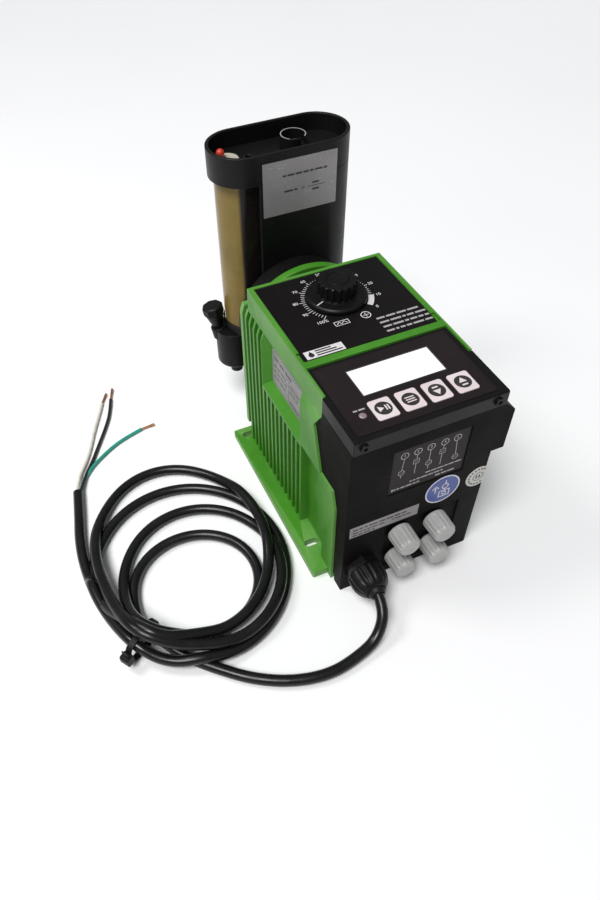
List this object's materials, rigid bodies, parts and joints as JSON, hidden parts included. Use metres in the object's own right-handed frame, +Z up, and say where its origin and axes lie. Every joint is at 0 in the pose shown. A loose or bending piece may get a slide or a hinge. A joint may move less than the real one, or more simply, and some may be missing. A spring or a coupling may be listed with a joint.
{
  "type": "motor-driven dosing pump",
  "caption": "Motor-driven diaphragm dosing pump with finned housing, control lid, stroke dial, calibration column, capped sockets and a coiled mains cable.",
  "frame": {"origin": "on the underside of the base flange, in the middle of the base plate", "axes": "+Z up, +Y from the control side towards the dosing head, +X to the right as seen from the control side"},
  "size_m": [0.2798, 0.3294, 0.224],
  "materials": {
    "housing_green": "satin green paint on a die-cast housing",
    "cover_black": "fine-grained black moulded plastic",
    "gloss_black": "smooth black moulded plastic",
    "overlay_black": "printed satin film",
    "key_face": "printed film with black and white symbols",
    "display_white": "clear pane over an unlit white display",
    "lamp_lens": "tinted lens",
    "label_silver": "brushed foil label with grey print",
    "sticker_blue": "printed vinyl sticker",
    "sticker_white": "printed vinyl sticker",
    "cap_white": "translucent natural polyethylene",
    "tube_amber": "transparent tube, yellowed",
    "ivory_plastic": "natural plastic",
    "red_plastic": "red moulded plastic",
    "screw_steel": "machined steel",
    "shaft_steel": "ground steel",
    "bracket_cast": "cast and machined",
    "wheel_bronze": "machined bronze",
    "seal_rubber": "moulded rubber",
    "membrane": "PTFE-faced rubber",
    "ball_ceramic": "ground ceramic ball",
    "board_green": "circuit board with solder mask",
    "cable_black": "glossy PVC cable jacket",
    "core_colours": "white, black and green core insulation with copper ends"
  },
  "bodies": {
    "pump": {"motor_housing": "housing_green", "head_flange": "housing_green", "front_cover": "cover_black", "control_lid": "gloss_black", "keypad_overlay": "overlay_black", "display_window": "display_white", "lcd_module": "board_green", "control_board": "board_green", "mode_led": "lamp_lens", "dial_panel": "overlay_black", "side_nameplate": "label_silver", "terminal_label": "overlay_black", "service_sticker": "sticker_blue", "test_sticker": "sticker_white", "strip_label": "label_silver", "column_label": "label_silver", "cover_screws": "screw_steel", "signal_sockets": "gloss_black", "gland_body": "gloss_black", "gland_nut": "gloss_black", "gland_seal": "seal_rubber", "drive_motor": "shaft_steel", "drive_bracket": "bracket_cast", "shaft_bearings": "wheel_bronze", "diaphragm": "membrane", "dosing_head": "gloss_black", "head_screws": "screw_steel", "column_body": "gloss_black", "column_tray": "gloss_black", "calibration_tube": "tube_amber", "tube_foot": "gloss_black", "suction_valve": "gloss_black", "discharge_valve": "gloss_black", "hose_unions": "gloss_black", "tube_cap": "ivory_plastic", "tray_plug": "gloss_black", "cable_lead": "cable_black", "cable_tail": "cable_black", "cable_coil": "cable_black", "cable_tie": "gloss_black", "cable_cores": "core_colours"},
    "stroke_dial": {"stroke_knob": "gloss_black", "adjusting_spindle": "shaft_steel"},
    "wedge": {"stroke_wedge": "shaft_steel"},
    "motor_rotor": {"motor_shaft": "shaft_steel"},
    "wheel": {"worm_wheel": "wheel_bronze"},
    "rod": {"pushrod": "shaft_steel", "return_spring": "shaft_steel"},
    "suction_check": {"suction_ball": "ball_ceramic"},
    "discharge_check": {"discharge_ball": "ball_ceramic"},
    "regulator": {"valve_knob": "gloss_black"},
    "vent": {"vent_screw": "red_plastic"},
    "key_start": {"key_start": "key_face"},
    "key_menu": {"key_menu": "key_face"},
    "key_down": {"key_down": "key_face"},
    "key_up": {"key_up": "key_face"},
    "cap_1": {"socket_cap_1": "cap_white"},
    "cap_2": {"socket_cap_2": "cap_white"},
    "cap_3": {"socket_cap_3": "cap_white"},
    "cap_4": {"socket_cap_4": "cap_white"}
  },
  "joints": [
    {"name": "stroke_turn", "type": "hinge", "parent": "pump", "child": "stroke_dial", "pos_m": [0, 0.0283, 0.16], "axis": [0, 0, 1], "range_deg": [-249, 23]},
    {"name": "wedge_lift", "type": "slide", "parent": "pump", "child": "wedge", "axis": [0, 0, 1], "range_m": [-0.00065, 0.00735]},
    {"name": "wheel_turn", "type": "hinge", "parent": "pump", "child": "wheel", "pos_m": [0, -0.012, 0.098], "axis": [1, 0, 0], "continuous": true},
    {"name": "worm_turn", "type": "hinge", "parent": "pump", "child": "motor_rotor", "pos_m": [-0.018, -0.038, 0.08], "axis": [0, 0, 1], "continuous": true},
    {"name": "rod_stroke", "type": "slide", "parent": "pump", "child": "rod", "axis": [0, 1, 0], "range_m": [0, 0.004], "stiffness_N_per_m": 400},
    {"name": "suction_lift", "type": "slide", "parent": "pump", "child": "suction_check", "axis": [0, 0, 1], "range_m": [0, 0.003]},
    {"name": "discharge_lift", "type": "slide", "parent": "pump", "child": "discharge_check", "axis": [0, 0, 1], "range_m": [0, 0.003]},
    {"name": "regulator_turn", "type": "hinge", "parent": "pump", "child": "regulator", "pos_m": [-0.0538, 0.1257, 0.0791], "axis": [-0.1599, 0.129, 0.9787], "range_deg": [0, 90]},
    {"name": "vent_turn", "type": "hinge", "parent": "pump", "child": "vent", "pos_m": [-0.0415, 0.1235, 0.216], "axis": [0, 0, 1], "range_deg": [0, 180]},
    {"name": "press_start", "type": "slide", "parent": "pump", "child": "key_start", "axis": [0, 0, -1], "range_m": [0, 0.0005], "stiffness_N_per_m": 300},
    {"name": "press_menu", "type": "slide", "parent": "pump", "child": "key_menu", "axis": [0, 0, -1], "range_m": [0, 0.0005], "stiffness_N_per_m": 300},
    {"name": "press_down", "type": "slide", "parent": "pump", "child": "key_down", "axis": [0, 0, -1], "range_m": [0, 0.0005], "stiffness_N_per_m": 300},
    {"name": "press_up", "type": "slide", "parent": "pump", "child": "key_up", "axis": [0, 0, -1], "range_m": [0, 0.0005], "stiffness_N_per_m": 300},
    {"name": "cap_1_off", "type": "slide", "parent": "pump", "child": "cap_1", "axis": [0, -1, 0], "range_m": [0, 0.014]},
    {"name": "cap_2_off", "type": "slide", "parent": "pump", "child": "cap_2", "axis": [0, -1, 0], "range_m": [0, 0.014]},
    {"name": "cap_3_off", "type": "slide", "parent": "pump", "child": "cap_3", "axis": [0, -1, 0], "range_m": [0, 0.014]},
    {"name": "cap_4_off", "type": "slide", "parent": "pump", "child": "cap_4", "axis": [0, -1, 0], "range_m": [0, 0.014]}
  ],
  "couplings": [
    {"joint": "stroke_turn", "follows": "wedge_lift", "rad_per_m": -588},
    {"joint": "worm_turn", "follows": "wheel_turn", "ratio": 30}
  ]
}
